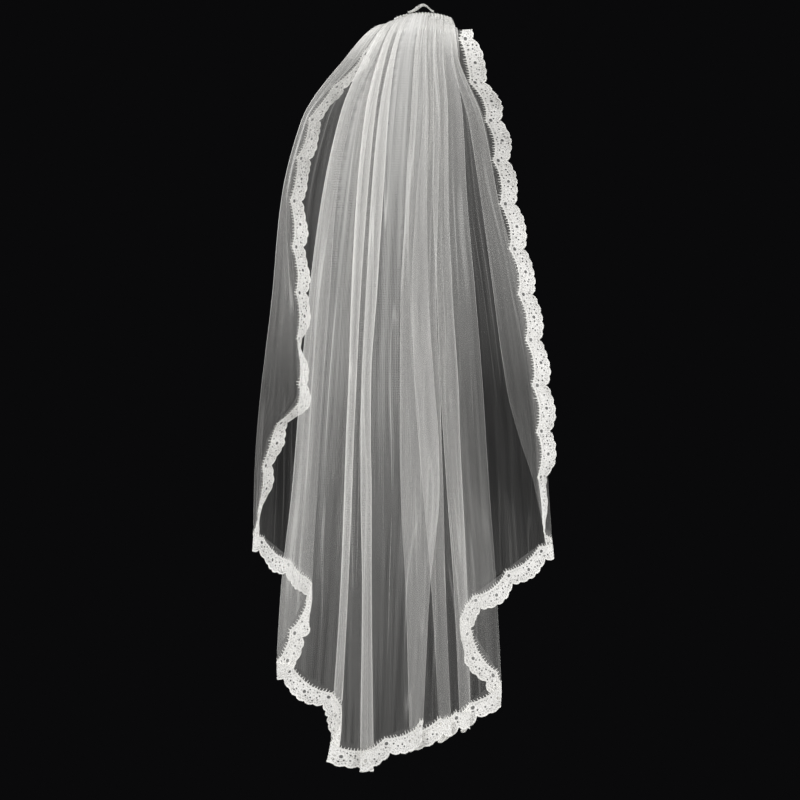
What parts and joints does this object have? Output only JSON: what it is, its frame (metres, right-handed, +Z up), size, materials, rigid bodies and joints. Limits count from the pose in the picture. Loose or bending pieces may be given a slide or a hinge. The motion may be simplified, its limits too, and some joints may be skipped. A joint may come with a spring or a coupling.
{
  "type": "bridal veil",
  "caption": "Single-tier fingertip bridal veil of sheer net, gathered on to a hair comb, with a scalloped lace edging down both sides and along the folded hem.",
  "frame": {"origin": "middle of the hair comb's spine, where the wearer's hair holds the veil up", "axes": "+Z up, +Y the way the wearer faces, which is the way the comb's teeth point, +X to the wearer's right, so that the veil hangs behind (-Y) and below the origin"},
  "size_m": [0.4089, 0.2207, 0.9862],
  "materials": {
    "net": "sheer white net",
    "lace": "matte white corded lace",
    "tape": "matte white net and tape",
    "clear_plastic": "clear moulded plastic"
  },
  "bodies": {
    "root": {"net_back": "net", "net_left_fall": "net", "net_right_fall": "net", "lace_left_edge": "lace", "lace_left_fall": "lace", "lace_hem": "lace", "lace_right_fall": "lace", "lace_right_edge": "lace", "binding": "tape", "heading_roll": "tape", "comb": "clear_plastic"}
  },
  "joints": []
}
